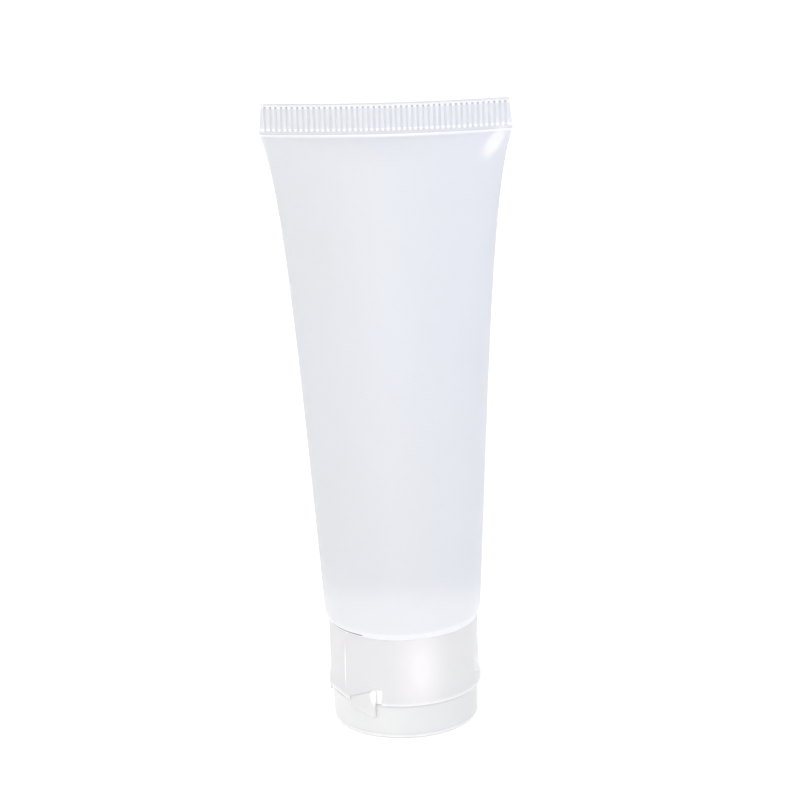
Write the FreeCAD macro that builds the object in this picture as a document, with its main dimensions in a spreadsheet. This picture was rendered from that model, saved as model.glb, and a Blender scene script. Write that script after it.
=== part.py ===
import FreeCAD, Part
import math
import os
import Sketcher

# Soft travel bottle: a squeeze tube with a crimped end, standing on its flip-top screw cap.
# Millimetres. The standing face of the lid is Z = 0, the tube's axis is Z and the crimp runs along X.
# Bearings round the axis are degrees from -Y, positive towards +X.

SIZES = {
    # Tube
    "tube_diameter": 40.0,
    "tube_wall": 0.5,
    "sleeve_length": 124.1,
    "shoulder_round_height": 3.85,
    "shoulder_round_inset": 1.0,
    # Crimped end
    "crimp_height": 7.75,
    "crimp_thickness": 1.3,
    "crimp_bow": 2.4,
    "crimp_end_splay": 0.8,
    "crimp_step": 0.2,
    "rib_pitch": 1.35,
    "rib_groove_width": 0.9,
    "rib_groove_depth": 0.25,
    "rib_top_margin": 0.8,
    "rib_bottom_margin": 0.6,
    # Shoulder and threaded neck
    "shoulder_thickness": 1.3,
    "shoulder_rim_width": 1.8,
    "shoulder_drop": 2.8,
    "neck_diameter": 17.2,
    "neck_wall": 1.7,
    "thread_pitch": 3.0,
    "thread_depth": 0.9,
    "thread_root_width": 1.3,
    "thread_crest_width": 0.7,
    "thread_turns": 1.5,
    "thread_clearance": 0.3,
    "thread_sink": 0.25,
    "neck_thread_lead_in": 2.0,
    # Sealing washer
    "washer_thickness": 1.2,
    "washer_clearance": 0.1,
    # Cap
    "cap_diameter": 38.0,
    "cap_height": 18.3,
    "cap_joint_gap": 0.2,
    "cap_wall": 1.4,
    "cap_rim_swell": 0.45,
    "cap_rim_height": 4.6,
    "cap_rim_lip": 1.3,
    "cap_rim_tuck": 0.1,
    "deck_recess": 0.8,
    "deck_thickness": 1.5,
    "inner_skirt_wall": 1.3,
    "skirt_shoulder_gap": 1.2,
    "nozzle_bore": 5.0,
    "nozzle_wall": 1.2,
    "nozzle_length": 4.0,
    "snap_ring_height": 1.6,
    "snap_ring_wall": 0.9,
    "facet_depth": 0.42,
    "facet_tilt": 1.0,
    "thumb_scoop_radius": 14.0,
    "thumb_scoop_depth": 0.8,
    "thumb_scoop_drop": 1.0,
    # Lid
    "lid_height": 9.1,
    "lid_setback": 0.45,
    "lid_draft": 0.25,
    "lid_wall": 1.3,
    "lid_edge_radius": 1.2,
    "parting_gap": 0.2,
    "plug_clearance": 0.3,
    "plug_wall": 0.6,
    "plug_reach": 2.4,
    "snap_ring_clearance": 0.5,
    # Hinge
    "hinge_bearing": -64.0,
    "web_inner_offset": 19.0,
    "web_outer_offset": 41.0,
    "web_thickness": 0.5,
    "web_clearance": 0.2,
    "web_short_height": 2.4,
    "web_rise": 4.0,
    "web_fall": 3.4,
    "web_window_width": 2.0,
    "web_window_depth": 0.9,
}

# Sides of the sleeve's many-sided skin at every section, and bands between the shoulder and the crimp
SKIN_SIDES = 40
SKIN_BANDS = 10

# How the sleeve flattens over its length: its widening is a sum of shares of powers of the height,
# its depth falls by one power and its bow grows by another
WIDENING = ((0.65, 1), (0.25, 5), (0.10, 21))
DEPTH_POWER = 0.55
BOW_POWER = 6
LEAST_HALF_DEPTH = 0.1

# Shares of other sizes: where the round of the shoulder has its middle section, how far the hollow stops
# short of the crimp, how far the head's rim leans out with the round, and how the cap's lip eases in
ROUND_MIDDLE = 0.45
SEAL_SHARE = 0.1
RIM_LEAN = 0.4
LIP_EASE_IN = 0.3
LIP_EASE_UP = 0.4

# Share of its radius at which a quarter arc has its middle
ARC_MIDDLE = round(math.cos(math.pi / 4), 3)

# Places worked out from the sizes
PLACES = {
    "axis": "0",
    "ground": "0",
    "tube_radius": "sizes.tube_diameter / 2",
    "cap_radius": "sizes.cap_diameter / 2",
    "parting": "sizes.lid_height",
    "cap_bottom": "sizes.lid_height + sizes.parting_gap / 2",
    "lid_rim": "sizes.lid_height - sizes.parting_gap / 2",
    "joint": "sizes.lid_height + sizes.cap_height",
    "cap_top": "sizes.lid_height + sizes.cap_height - sizes.cap_joint_gap",
    "deck_under": "sizes.lid_height + sizes.deck_recess",
    "deck_top": "sizes.lid_height + sizes.deck_recess + sizes.deck_thickness",
    "sleeve_start": "sizes.lid_height + sizes.cap_height + sizes.shoulder_round_height",
    "sleeve_foot_radius": "sizes.tube_diameter / 2 - sizes.shoulder_round_inset",
    "neck_radius": "sizes.neck_diameter / 2",
    "neck_bore_radius": "sizes.neck_diameter / 2 - sizes.neck_wall",
    "thread_outer": "sizes.neck_diameter / 2 + sizes.thread_depth",
    "skirt_bore": "sizes.neck_diameter / 2 + sizes.thread_depth + sizes.thread_clearance",
    "nozzle_bore_radius": "sizes.nozzle_bore / 2",
    "lid_radius": "sizes.cap_diameter / 2 - sizes.lid_setback",
}
PLACES["crimp_start"] = PLACES["sleeve_start"] + " + sizes.sleeve_length"
PLACES["neck_root"] = PLACES["joint"] + " - sizes.shoulder_drop"
PLACES["neck_rim"] = PLACES["deck_top"] + " + sizes.washer_thickness + 2 * sizes.washer_clearance"
PLACES["skirt_outer"] = PLACES["skirt_bore"] + " + sizes.inner_skirt_wall"
PLACES["skirt_top"] = PLACES["neck_root"] + " - sizes.skirt_shoulder_gap"
PLACES["nozzle_outer"] = PLACES["nozzle_bore_radius"] + " + sizes.nozzle_wall"
PLACES["nozzle_tip"] = PLACES["deck_under"] + " - sizes.nozzle_length"
PLACES["lid_inner"] = PLACES["lid_radius"] + " - sizes.lid_wall"
PLACES["plug_outer"] = PLACES["nozzle_bore_radius"] + " - sizes.plug_clearance"
PLACES["plug_inner"] = PLACES["plug_outer"] + " - sizes.plug_wall"
PLACES["plug_tip"] = PLACES["nozzle_tip"] + " + sizes.plug_reach"
PLACES["snap_ring_outer"] = PLACES["lid_inner"] + " - sizes.snap_ring_clearance"
PLACES["snap_ring_inner"] = PLACES["snap_ring_outer"] + " - sizes.snap_ring_wall"
PLACES["snap_ring_tip"] = PLACES["parting"] + " - sizes.snap_ring_height"

# The sketcher's numbers for a line's two ends
START, END = 1, 2

doc = FreeCAD.newDocument("travel_bottle")
sheet = doc.addObject("Spreadsheet::Sheet", "sizes")
for row, (alias, number) in enumerate(SIZES.items(), start=1):
    sheet.set(f"A{row}", alias.replace("_", " "))
    sheet.set(f"B{row}", str(number))
    sheet.setAlias(f"B{row}", alias)
doc.recompute()


def expand(expression):
    """A place's name, or an expression in the sheet's cells, as an expression in the sheet's cells."""
    return PLACES.get(expression, expression)


def value(expression):
    """The number that a place or an expression comes to now."""
    return float(sheet.evalExpression(expand(expression).replace("sizes.", "")))


def bearing(degrees, radius):
    """The point at a bearing and a radius, in plan."""
    turn = math.radians(degrees)
    return FreeCAD.Vector(radius * math.sin(turn), -radius * math.cos(turn), 0)


def origin_plane(body, role):
    """One of a body's own origin planes."""
    for feature in body.Origin.OriginFeatures:
        if feature.Role == role:
            return feature
    raise ValueError(role)


def half_section(body, name, corners):
    """A closed outline in the body's XZ plane. Each corner is a radius and a height, both expressions."""
    sketch = body.newObject("Sketcher::SketchObject", name)
    sketch.AttachmentSupport = [(origin_plane(body, "XZ_Plane"), "")]
    sketch.MapMode = "FlatFace"
    spots = [FreeCAD.Vector(value(radius), value(height), 0) for radius, height in corners]
    for index, spot in enumerate(spots):
        sketch.addGeometry(Part.LineSegment(spots[index - 1], spot), False)
    for index in range(len(corners)):
        follower = (index + 1) % len(corners)
        sketch.addConstraint(Sketcher.Constraint("Coincident", index, END, follower, START))
    for index, (radius, height) in enumerate(corners):
        for kind, axis, place, expression in (
                ("DistanceX", "radius", spots[index].x, radius),
                ("DistanceY", "height", spots[index].y, height)):
            number = sketch.addConstraint(Sketcher.Constraint(kind, index, END, place))
            sketch.renameConstraint(number, f"{axis}_{index}")
            sketch.setExpression(f"Constraints.{axis}_{index}", expand(expression))
    return sketch


def turned(label, corners):
    """A body turned about Z from a half section."""
    body = doc.addObject("PartDesign::Body", label)
    sketch = half_section(body, f"{label}_section", corners)
    turn = body.newObject("PartDesign::Revolution", f"{label}_turned")
    turn.Profile = sketch
    turn.ReferenceAxis = (sketch, ["V_Axis"])
    turn.Angle = 360
    doc.recompute()
    return body


def add_thread(body, name, corners, turns):
    """A helical ridge added to a turned body."""
    sketch = half_section(body, f"{name}_section", corners)
    ridge = body.newObject("PartDesign::AdditiveHelix", name)
    ridge.Profile = sketch
    ridge.ReferenceAxis = (sketch, ["V_Axis"])
    ridge.Mode = "pitch-turns-angle"
    ridge.setExpression("Pitch", "sizes.thread_pitch")
    ridge.setExpression("Turns", turns)
    doc.recompute()
    return ridge


# Sleeve: a tube wall that is round at the shoulder and flattens into the crimp

def flattening(share):
    """Half width and half depth of the sleeve's outside at a share of its length."""
    round_radius = value("tube_radius")
    flat_half_width = math.pi * round_radius / 2
    widening = sum(portion * share ** power for portion, power in WIDENING)
    half_width = round_radius + (flat_half_width - round_radius) * widening
    return half_width, round_radius * (1 - share) ** DEPTH_POWER


def outside_at(height):
    """Half width, half depth and share of the length at any height of the sleeve."""
    start = value("sleeve_start")
    if height < start:
        drop = (start - height) / value("sizes.shoulder_round_height")
        radius = value("tube_radius") - value("sizes.shoulder_round_inset") * drop ** 2
        return radius, radius, 0.0
    share = min(1.0, (height - start) / value("sizes.sleeve_length"))
    half_width, half_depth = flattening(share)
    least = value("sizes.crimp_thickness") / 2 - value("sizes.crimp_step")
    return half_width, max(half_depth, least), share


def skin_solid(inset, spread, heights):
    """A solid lofted through many-sided sections of the sleeve, drawn in by an inset and then spread."""
    bow = value("sizes.crimp_bow")
    sections = []
    for height in heights:
        half_width, half_depth, share = outside_at(height)
        half_width = (half_width - inset) * spread
        half_depth = max(half_depth - inset, LEAST_HALF_DEPTH) * spread
        corners = []
        for step in range(SKIN_SIDES):
            turn = 2 * math.pi * step / SKIN_SIDES
            sag = bow * share ** BOW_POWER * math.sin(turn) ** 2
            corners.append(FreeCAD.Vector(
                half_width * math.cos(turn), half_depth * math.sin(turn) - sag, height))
        sections.append(Part.makePolygon(corners + corners[:1]))
    return Part.makeLoft(sections, True, True)


def crimp_band():
    """The sealed strip: bowed in plan, with ends that lean outward going down, ribbed on both faces."""
    half_width = flattening(1.0)[0]
    bow = value("sizes.crimp_bow")
    half = value("sizes.crimp_thickness") / 2
    height = value("sizes.crimp_height")
    bottom = value("crimp_start")
    radius = (half_width ** 2 + bow ** 2) / (2 * bow)
    centre = FreeCAD.Vector(0, radius - bow, bottom)
    ring = Part.makeCylinder(radius + half, height, centre)
    ring = ring.cut(Part.makeCylinder(radius - half, height, centre))
    splay = value("sizes.crimp_end_splay")
    clear = 4 * bow
    low = FreeCAD.Vector(half_width, -clear, bottom)
    high = FreeCAD.Vector(half_width - splay, -clear, bottom + height)
    front = Part.makePolygon([
        low, high, FreeCAD.Vector(-high.x, high.y, high.z), FreeCAD.Vector(-low.x, low.y, low.z), low])
    strip = ring.common(Part.Face(front).extrude(FreeCAD.Vector(0, 2 * clear, 0)))
    return strip.cut(Part.makeCompound(rib_grooves(centre, radius, half)))


def rib_grooves(centre, radius, half):
    """The grooves between the ribs, as upright wedges along both faces of the strip."""
    pitch = value("sizes.rib_pitch")
    width = value("sizes.rib_groove_width")
    depth = value("sizes.rib_groove_depth")
    foot = centre.z + value("sizes.rib_bottom_margin")
    length = value("sizes.crimp_height") - value("sizes.rib_top_margin") - value("sizes.rib_bottom_margin")
    reach = flattening(1.0)[0] - value("sizes.crimp_end_splay") - pitch / 2
    count = 2 * int(reach / pitch) + 1
    grooves = []
    for face in (1, -1):
        skin = radius + face * half
        for number in range(count):
            turn = math.degrees((number - (count - 1) / 2) * pitch / radius)
            floor = skin - face * depth
            mouth = skin + face * depth / 4
            outline = [(-width / 2, mouth), (width / 2, mouth), (0, floor)]
            corners = [FreeCAD.Vector(x, -y, foot) for x, y in outline]
            wedge = Part.Face(Part.makePolygon(corners + corners[:1]))
            groove = wedge.extrude(FreeCAD.Vector(0, 0, length))
            groove.Placement = FreeCAD.Placement(
                FreeCAD.Vector(centre.x, centre.y, 0), FreeCAD.Rotation(FreeCAD.Vector(0, 0, 1), turn))
            grooves.append(groove)
    return grooves


def make_sleeve():
    start = value("sleeve_start")
    crimp = value("crimp_start")
    length = value("sizes.sleeve_length")
    foot = [value("joint"), start - ROUND_MIDDLE * value("sizes.shoulder_round_height"), start]
    stages = [start + length * (1 - (1 - band / SKIN_BANDS) ** 2) for band in range(1, SKIN_BANDS)]
    outside = skin_solid(0.0, 1.0, foot + stages + [crimp, crimp + value("sizes.rib_bottom_margin")])
    # The inside is spread until its flats clear the round rim of the head.
    spread = 1 / math.cos(math.pi / SKIN_SIDES)
    seal = crimp - SEAL_SHARE * value("sizes.crimp_height")
    inside = skin_solid(value("sizes.tube_wall"), spread, foot + stages + [seal])
    sleeve = doc.addObject("Part::Feature", "tube_sleeve")
    sleeve.Shape = outside.cut(inside).fuse(crimp_band())
    return sleeve


# Shoulder and neck: one moulding, welded into the sleeve

def make_head():
    foot = "sizes.tube_diameter / 2 - sizes.shoulder_round_inset - sizes.tube_wall"
    bore_turn = PLACES["neck_root"] + " + sizes.shoulder_thickness"
    cone_end = PLACES["sleeve_foot_radius"] + " - sizes.tube_wall - sizes.shoulder_rim_width"
    body = turned("tube_head", [
        ("neck_bore_radius", "neck_rim"),
        ("neck_radius", "neck_rim"),
        ("neck_radius", "neck_root"),
        (cone_end, "joint"),
        (foot, "joint"),
        (foot + f" + {RIM_LEAN} * sizes.shoulder_round_inset",
         PLACES["joint"] + " + sizes.shoulder_thickness"),
        (cone_end, PLACES["joint"] + " + sizes.shoulder_thickness"),
        ("neck_bore_radius", bore_turn),
    ])
    start = PLACES["neck_rim"] + " + sizes.neck_thread_lead_in"
    add_thread(body, "neck_thread", [
        (PLACES["neck_radius"] + " - sizes.thread_sink", start + " - sizes.thread_root_width / 2"),
        ("thread_outer", start + " - sizes.thread_crest_width / 2"),
        ("thread_outer", start + " + sizes.thread_crest_width / 2"),
        (PLACES["neck_radius"] + " - sizes.thread_sink", start + " + sizes.thread_root_width / 2"),
    ], "sizes.thread_turns")
    return body


# Washer between the neck's rim and the cap's deck

def make_washer():
    low = PLACES["deck_top"] + " + sizes.washer_clearance"
    high = low + " + sizes.washer_thickness"
    return turned("sealing_washer", [
        ("neck_bore_radius", low),
        ("neck_radius", low),
        ("neck_radius", high),
        ("neck_bore_radius", high),
    ])


# Cap: outer skirt, deck with nozzle, and an inner skirt with the mating thread

def make_cap():
    skirt = PLACES["cap_radius"] + " - sizes.cap_wall"
    lip = PLACES["cap_radius"] + " + sizes.cap_rim_swell"
    body = turned("cap_turned", [
        ("nozzle_bore_radius", "nozzle_tip"),
        ("nozzle_outer", "nozzle_tip"),
        ("nozzle_outer", "deck_under"),
        ("snap_ring_inner", "deck_under"),
        ("snap_ring_inner", "snap_ring_tip"),
        ("snap_ring_outer", "snap_ring_tip"),
        ("snap_ring_outer", "cap_bottom"),
        (PLACES["cap_radius"] + " - sizes.cap_rim_tuck", "cap_bottom"),
        (lip + f" - {LIP_EASE_IN} * sizes.cap_rim_swell",
         PLACES["parting"] + f" + {LIP_EASE_UP} * sizes.cap_rim_lip"),
        (lip, PLACES["parting"] + " + sizes.cap_rim_lip"),
        ("cap_radius", PLACES["parting"] + " + sizes.cap_rim_height"),
        ("cap_radius", "cap_top"),
        (skirt, "cap_top"),
        (skirt, "deck_top"),
        ("skirt_outer", "deck_top"),
        ("skirt_outer", "skirt_top"),
        ("skirt_bore", "skirt_top"),
        ("skirt_bore", "deck_top"),
        ("nozzle_bore_radius", "deck_top"),
    ])
    start = PLACES["neck_rim"] + " + sizes.neck_thread_lead_in + sizes.thread_pitch / 2"
    crest = PLACES["neck_radius"] + " + sizes.thread_clearance"
    add_thread(body, "cap_thread", [
        (PLACES["skirt_bore"] + " + sizes.thread_sink", start + " + sizes.thread_root_width / 2"),
        (crest, start + " + sizes.thread_crest_width / 2"),
        (crest, start + " - sizes.thread_crest_width / 2"),
        (PLACES["skirt_bore"] + " + sizes.thread_sink", start + " - sizes.thread_root_width / 2"),
    ], "sizes.thread_turns")
    tools = [hinge_facet(), thumb_scoop()]
    for name, side in (("front", 1), ("back", -1)):
        tools += [web_pocket(name, side), web_window(name, side)]
    cap = doc.addObject("Part::Cut", "cap_body")
    cap.Base = body
    cap.Tool = fused("cap_cuts", tools)
    return cap


def fused(name, shapes):
    union = doc.addObject("Part::MultiFuse", name)
    union.Shapes = shapes
    return union


def hinge_facet():
    """A leaning flat on the skirt, behind which the lid's heel swings."""
    box = doc.addObject("Part::Box", "hinge_facet")
    box.setExpression("Length", "sizes.cap_diameter")
    box.setExpression("Width", "sizes.cap_diameter")
    box.setExpression("Height", "2 * sizes.cap_height")
    distance = value("cap_radius") - value("sizes.facet_depth")
    turn = FreeCAD.Rotation(FreeCAD.Vector(0, 0, 1), value("sizes.hinge_bearing") - 90)
    lean = FreeCAD.Rotation(FreeCAD.Vector(0, 1, 0), value("sizes.facet_tilt"))
    spot = bearing(value("sizes.hinge_bearing"), distance)
    spot.z = value("parting")
    middle = FreeCAD.Vector(0, -value("cap_radius"), -value("sizes.lid_height") / 2)
    box.Placement = FreeCAD.Placement(spot, turn.multiply(lean)).multiply(
        FreeCAD.Placement(middle, FreeCAD.Rotation()))
    return box


def thumb_scoop():
    """A shallow scoop in the rim, opposite the hinge, for a thumb under the lid."""
    scoop = doc.addObject("Part::Sphere", "thumb_scoop")
    scoop.setExpression("Radius", "sizes.thumb_scoop_radius")
    distance = value("cap_radius") + value("sizes.thumb_scoop_radius") - value("sizes.thumb_scoop_depth")
    spot = bearing(value("sizes.hinge_bearing") + 180, distance)
    spot.z = value("parting") - value("sizes.thumb_scoop_drop")
    scoop.Placement = FreeCAD.Placement(spot, FreeCAD.Rotation())
    return scoop


# Hinge: two film webs that stand in pockets beside the hinge line

def web_reach():
    """Half the width of a web, seen from its own middle bearing."""
    half = value("sizes.web_outer_offset - sizes.web_inner_offset") / 2
    return web_span()[1] * math.sin(math.radians(half))


def web_outline(margin):
    """A web's outline, grown by a margin: a short end beside the hinge line and a tall end away from it."""
    reach = web_reach()
    short = value("sizes.web_short_height") / 2
    top_slope = (value("sizes.web_rise") - short) / (2 * reach)
    foot_slope = (value("sizes.web_fall") - short) / (2 * reach)
    near, far = -reach - margin, reach + margin
    return [
        (near, -short - margin * (1 - foot_slope)),
        (far, -value("sizes.web_fall") - margin * (1 + foot_slope)),
        (far, value("sizes.web_rise") + margin * (1 + top_slope)),
        (near, short + margin * (1 - top_slope)),
    ]


def curved_plate(outline, side, inner, outer):
    """A plate between two radii, cut to an outline about the parting line at a web's middle bearing."""
    corners = [FreeCAD.Vector(x, 0, value("parting") + z) for x, z in outline]
    plate = Part.Face(Part.makePolygon(corners + corners[:1]))
    plate = plate.extrude(FreeCAD.Vector(0, -outer - 1, 0))
    height = value("joint")
    plate = plate.common(Part.makeCylinder(outer, height).cut(Part.makeCylinder(inner, height)))
    if side < 0:
        plate = plate.mirror(FreeCAD.Vector(), FreeCAD.Vector(1, 0, 0))
    middle = value("sizes.web_inner_offset + sizes.web_outer_offset") / 2
    plate.rotate(FreeCAD.Vector(), FreeCAD.Vector(0, 0, 1), value("sizes.hinge_bearing") + side * middle)
    return plate


def web_span():
    """Inner and outer radius of the webs: clear of the lid and inside the cap's rim."""
    inner = value("lid_radius") + value("sizes.web_clearance")
    return inner, inner + value("sizes.web_thickness")


def web_pocket(name, side):
    """The recess in the cap's rim that a web folds into."""
    pocket = doc.addObject("Part::Feature", f"web_pocket_{name}")
    margin = value("sizes.web_clearance")
    pocket.Shape = curved_plate(web_outline(margin), side, web_span()[0] - margin / 2, pocket_outer())
    return pocket


def web_window(name, side):
    """The open notch past a web's tall end."""
    window = doc.addObject("Part::Feature", f"web_window_{name}")
    near = web_reach()
    far = near + value("sizes.web_window_width")
    top = value("sizes.web_rise") + value("sizes.web_clearance")
    foot = -value("sizes.parting_gap")
    outline = [(near, foot), (far, foot), (far, top), (near, top)]
    window.Shape = curved_plate(
        outline, side, value("cap_radius") - value("sizes.web_window_depth"), pocket_outer())
    return window


def pocket_outer():
    """A radius that is clear outside the cap's rim."""
    return value("cap_radius") + 4 * value("sizes.cap_rim_swell")


def make_web(name, side):
    web = doc.addObject("Part::Feature", f"hinge_web_{name}")
    web.Shape = curved_plate(web_outline(0.0), side, *web_span())
    return web


# Lid: a shallow cup whose ring plug closes the nozzle

def make_lid():
    draft_radius = PLACES["lid_radius"] + " - sizes.lid_draft"
    inner_draft = PLACES["lid_inner"] + " - sizes.lid_draft"
    floor = "sizes.lid_wall"
    foot = draft_radius + " - sizes.lid_edge_radius"
    body = turned("flip_lid", [
        ("axis", "ground"),
        (foot, "ground"),
        (foot + f" + {ARC_MIDDLE} * sizes.lid_edge_radius", f"{1 - ARC_MIDDLE:.3f} * sizes.lid_edge_radius"),
        (draft_radius, "sizes.lid_edge_radius"),
        ("lid_radius", "lid_rim"),
        ("lid_inner", "lid_rim"),
        (inner_draft, floor),
        ("plug_outer", floor),
        ("plug_outer", "plug_tip"),
        ("plug_inner", "plug_tip"),
        ("plug_inner", floor),
        ("axis", floor),
    ])
    return body


parts = [
    make_sleeve(),
    make_head(),
    make_washer(),
    make_cap(),
    make_lid(),
    make_web("front", 1),
    make_web("back", -1),
]
doc.recompute()

for item in doc.Objects:
    if "Invalid" in item.State or "Error" in item.State:
        raise RuntimeError(f"{item.Label} did not recompute")
for part in parts:
    shape = part.Shape
    if shape.isNull() or not shape.isValid() or len(shape.Solids) < 1:
        raise RuntimeError(f"{part.Label} has no valid solid")

os.makedirs("parts", exist_ok=True)
for part in parts:
    part.Shape.exportStep(f"parts/{part.Label}.step")
    box = part.Shape.BoundBox
    print(f"{part.Label}: {len(part.Shape.Solids)} solid, {part.Shape.Volume:.1f} mm3,"
          f" X {box.XMin:.2f} to {box.XMax:.2f}, Y {box.YMin:.2f} to {box.YMax:.2f},"
          f" Z {box.ZMin:.2f} to {box.ZMax:.2f}")
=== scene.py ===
import math

import bpy
from mathutils import Matrix, Vector


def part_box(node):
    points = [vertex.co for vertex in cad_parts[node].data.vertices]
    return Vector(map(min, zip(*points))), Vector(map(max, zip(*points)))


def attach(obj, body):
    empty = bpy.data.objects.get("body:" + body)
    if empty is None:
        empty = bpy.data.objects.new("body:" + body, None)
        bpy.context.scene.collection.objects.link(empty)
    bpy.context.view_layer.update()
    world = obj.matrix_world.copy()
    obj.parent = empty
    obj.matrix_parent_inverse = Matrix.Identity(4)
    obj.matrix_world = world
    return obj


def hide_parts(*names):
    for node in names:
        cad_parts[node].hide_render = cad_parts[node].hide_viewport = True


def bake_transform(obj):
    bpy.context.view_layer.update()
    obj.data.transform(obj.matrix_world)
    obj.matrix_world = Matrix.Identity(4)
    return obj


bl_info = {
    "name": "Travel Bottle",
    "version": (1, 0, 0),
    "blender": (4, 5, 0),
    "location": "3D View > Sidebar > Travel Bottle",
    "description": "A soft travel bottle: a squeeze tube with a crimped end on its flip-top cap",
    "category": "Add Mesh",
}

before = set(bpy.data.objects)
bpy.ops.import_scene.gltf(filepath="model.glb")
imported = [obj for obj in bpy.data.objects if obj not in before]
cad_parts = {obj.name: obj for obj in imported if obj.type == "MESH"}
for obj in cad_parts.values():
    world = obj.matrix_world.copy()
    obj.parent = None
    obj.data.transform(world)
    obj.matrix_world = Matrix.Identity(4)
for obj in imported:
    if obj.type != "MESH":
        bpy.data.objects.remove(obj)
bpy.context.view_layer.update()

# The tube's axis is Z, the crimp runs along X and the lid stands on Z = 0, all in metres.
MM = 0.001
SLEEVE_LOW, SLEEVE_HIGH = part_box("tube_sleeve")
CAP_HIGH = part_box("cap_body")[1]
LID_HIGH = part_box("flip_lid")[1]
LIP_FOOT = LID_HIGH.z + 0.2 * MM
PARTING = LID_HIGH.z + 0.1 * MM
SMOOTH_ANGLE = math.radians(35)
MERGE = 0.002 * MM
HAIR = 0.01 * MM


# Settings

def length(name, description, default, largest=0.2):
    """A length property in metres."""
    return bpy.props.FloatProperty(
        name=name, description=description, default=default, min=0.0, max=largest,
        precision=5, unit="LENGTH", subtype="DISTANCE")


def turn(name, description, degrees):
    """An angle property, its default given in degrees."""
    return bpy.props.FloatProperty(
        name=name, description=description, default=math.radians(degrees),
        unit="ROTATION", subtype="ANGLE")


def colour(name, description, default):
    """A colour property, with its alpha."""
    return bpy.props.FloatVectorProperty(
        name=name, description=description, default=default,
        size=4, min=0.0, max=1.0, subtype="COLOR")


def share(name, description, default, largest=1.0):
    """A plain number property from 0 up."""
    return bpy.props.FloatProperty(
        name=name, description=description, default=default, min=0.0, max=largest, subtype="FACTOR")


class TubeSettings(bpy.types.PropertyGroup):
    radius: length("Radius", "Radius of the round end of the tube", 20 * MM)
    wall: length("Wall", "Thickness of the tube's wall", 0.5 * MM)
    round_height: length("Shoulder Round", "Height over which the wall rounds in to the cap", 3.85 * MM)
    round_inset: length("Shoulder Inset", "How far the wall has drawn in where it meets the cap", 1.0 * MM)
    joint_cover: length("Joint Cover", "How far the wall covers the gap to the cap", 0.18 * MM)
    crimp_height: length("Seal Height", "Height of the crimped seal", 7.75 * MM)
    crimp_thickness: length("Seal Thickness", "Thickness of the crimped seal", 1.3 * MM)
    crimp_step: length("Seal Step", "How far the seal stands out from the wall", 0.1 * MM)
    bead: length("Bead", "Height of the bead under the seal", 0.55 * MM)
    bead_swell: length("Bead Swell", "How far the bead stands out from the seal", 0.08 * MM)
    crimp_bow: length("Seal Bow", "How far the seal bows towards the front", 2.4 * MM)
    crimp_splay: length("Seal Splay", "How far each end of the seal leans in at its top", 0.8 * MM)
    rib_pitch: length("Rib Pitch", "Spacing of the ribs pressed into the seal", 1.35 * MM)
    rib_groove: length("Groove Depth", "Depth of the grooves between the ribs", 0.25 * MM)
    rib_top: length("Top Band", "Plain band above the ribs", 0.12 * MM)
    rib_edge: length("Rib Edge", "Half the flat of a rib, which is left round each groove", 0.3 * MM)
    rib_foot: length("Bottom Band", "Plain band under the ribs", 0.7 * MM)
    ribs: bpy.props.IntProperty(
        name="Ribs", description="Number of grooves along the seal", default=45, min=1)
    # Tint and shade: the wall's colour at its left, and the darker, bluer colour at its right, which is
    # painted shade.
    tint: colour("Tube Colour", "Colour of the milky wall at its left", (0.86, 0.868, 0.892, 1))
    shade: colour("Tube Shade", "Colour that it drifts to at its right", (0.868, 0.893, 0.958, 1))
    # Painted light: the shoulder, the foot and the bead are painted whiter with this colour. So is the fold,
    # partly its own stress whitening and partly a painted highlight.
    fold_white_and_highlight: colour("Crease Colour", "Colour where a fold has whitened the wall", (0.98, 0.98, 1.0, 1))
    # Painted shade: the slit beside the hinge and the floors of the grooves.
    groove_shade: colour("Groove Colour", "Colour of the open slit and deep in the grooves", (0.32, 0.31, 0.34, 1))
    roughness: share("Tube Roughness", "Roughness of the wall", 0.36)
    clearness: share("Tube Clearness", "How much light passes through the wall", 0.4)


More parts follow.
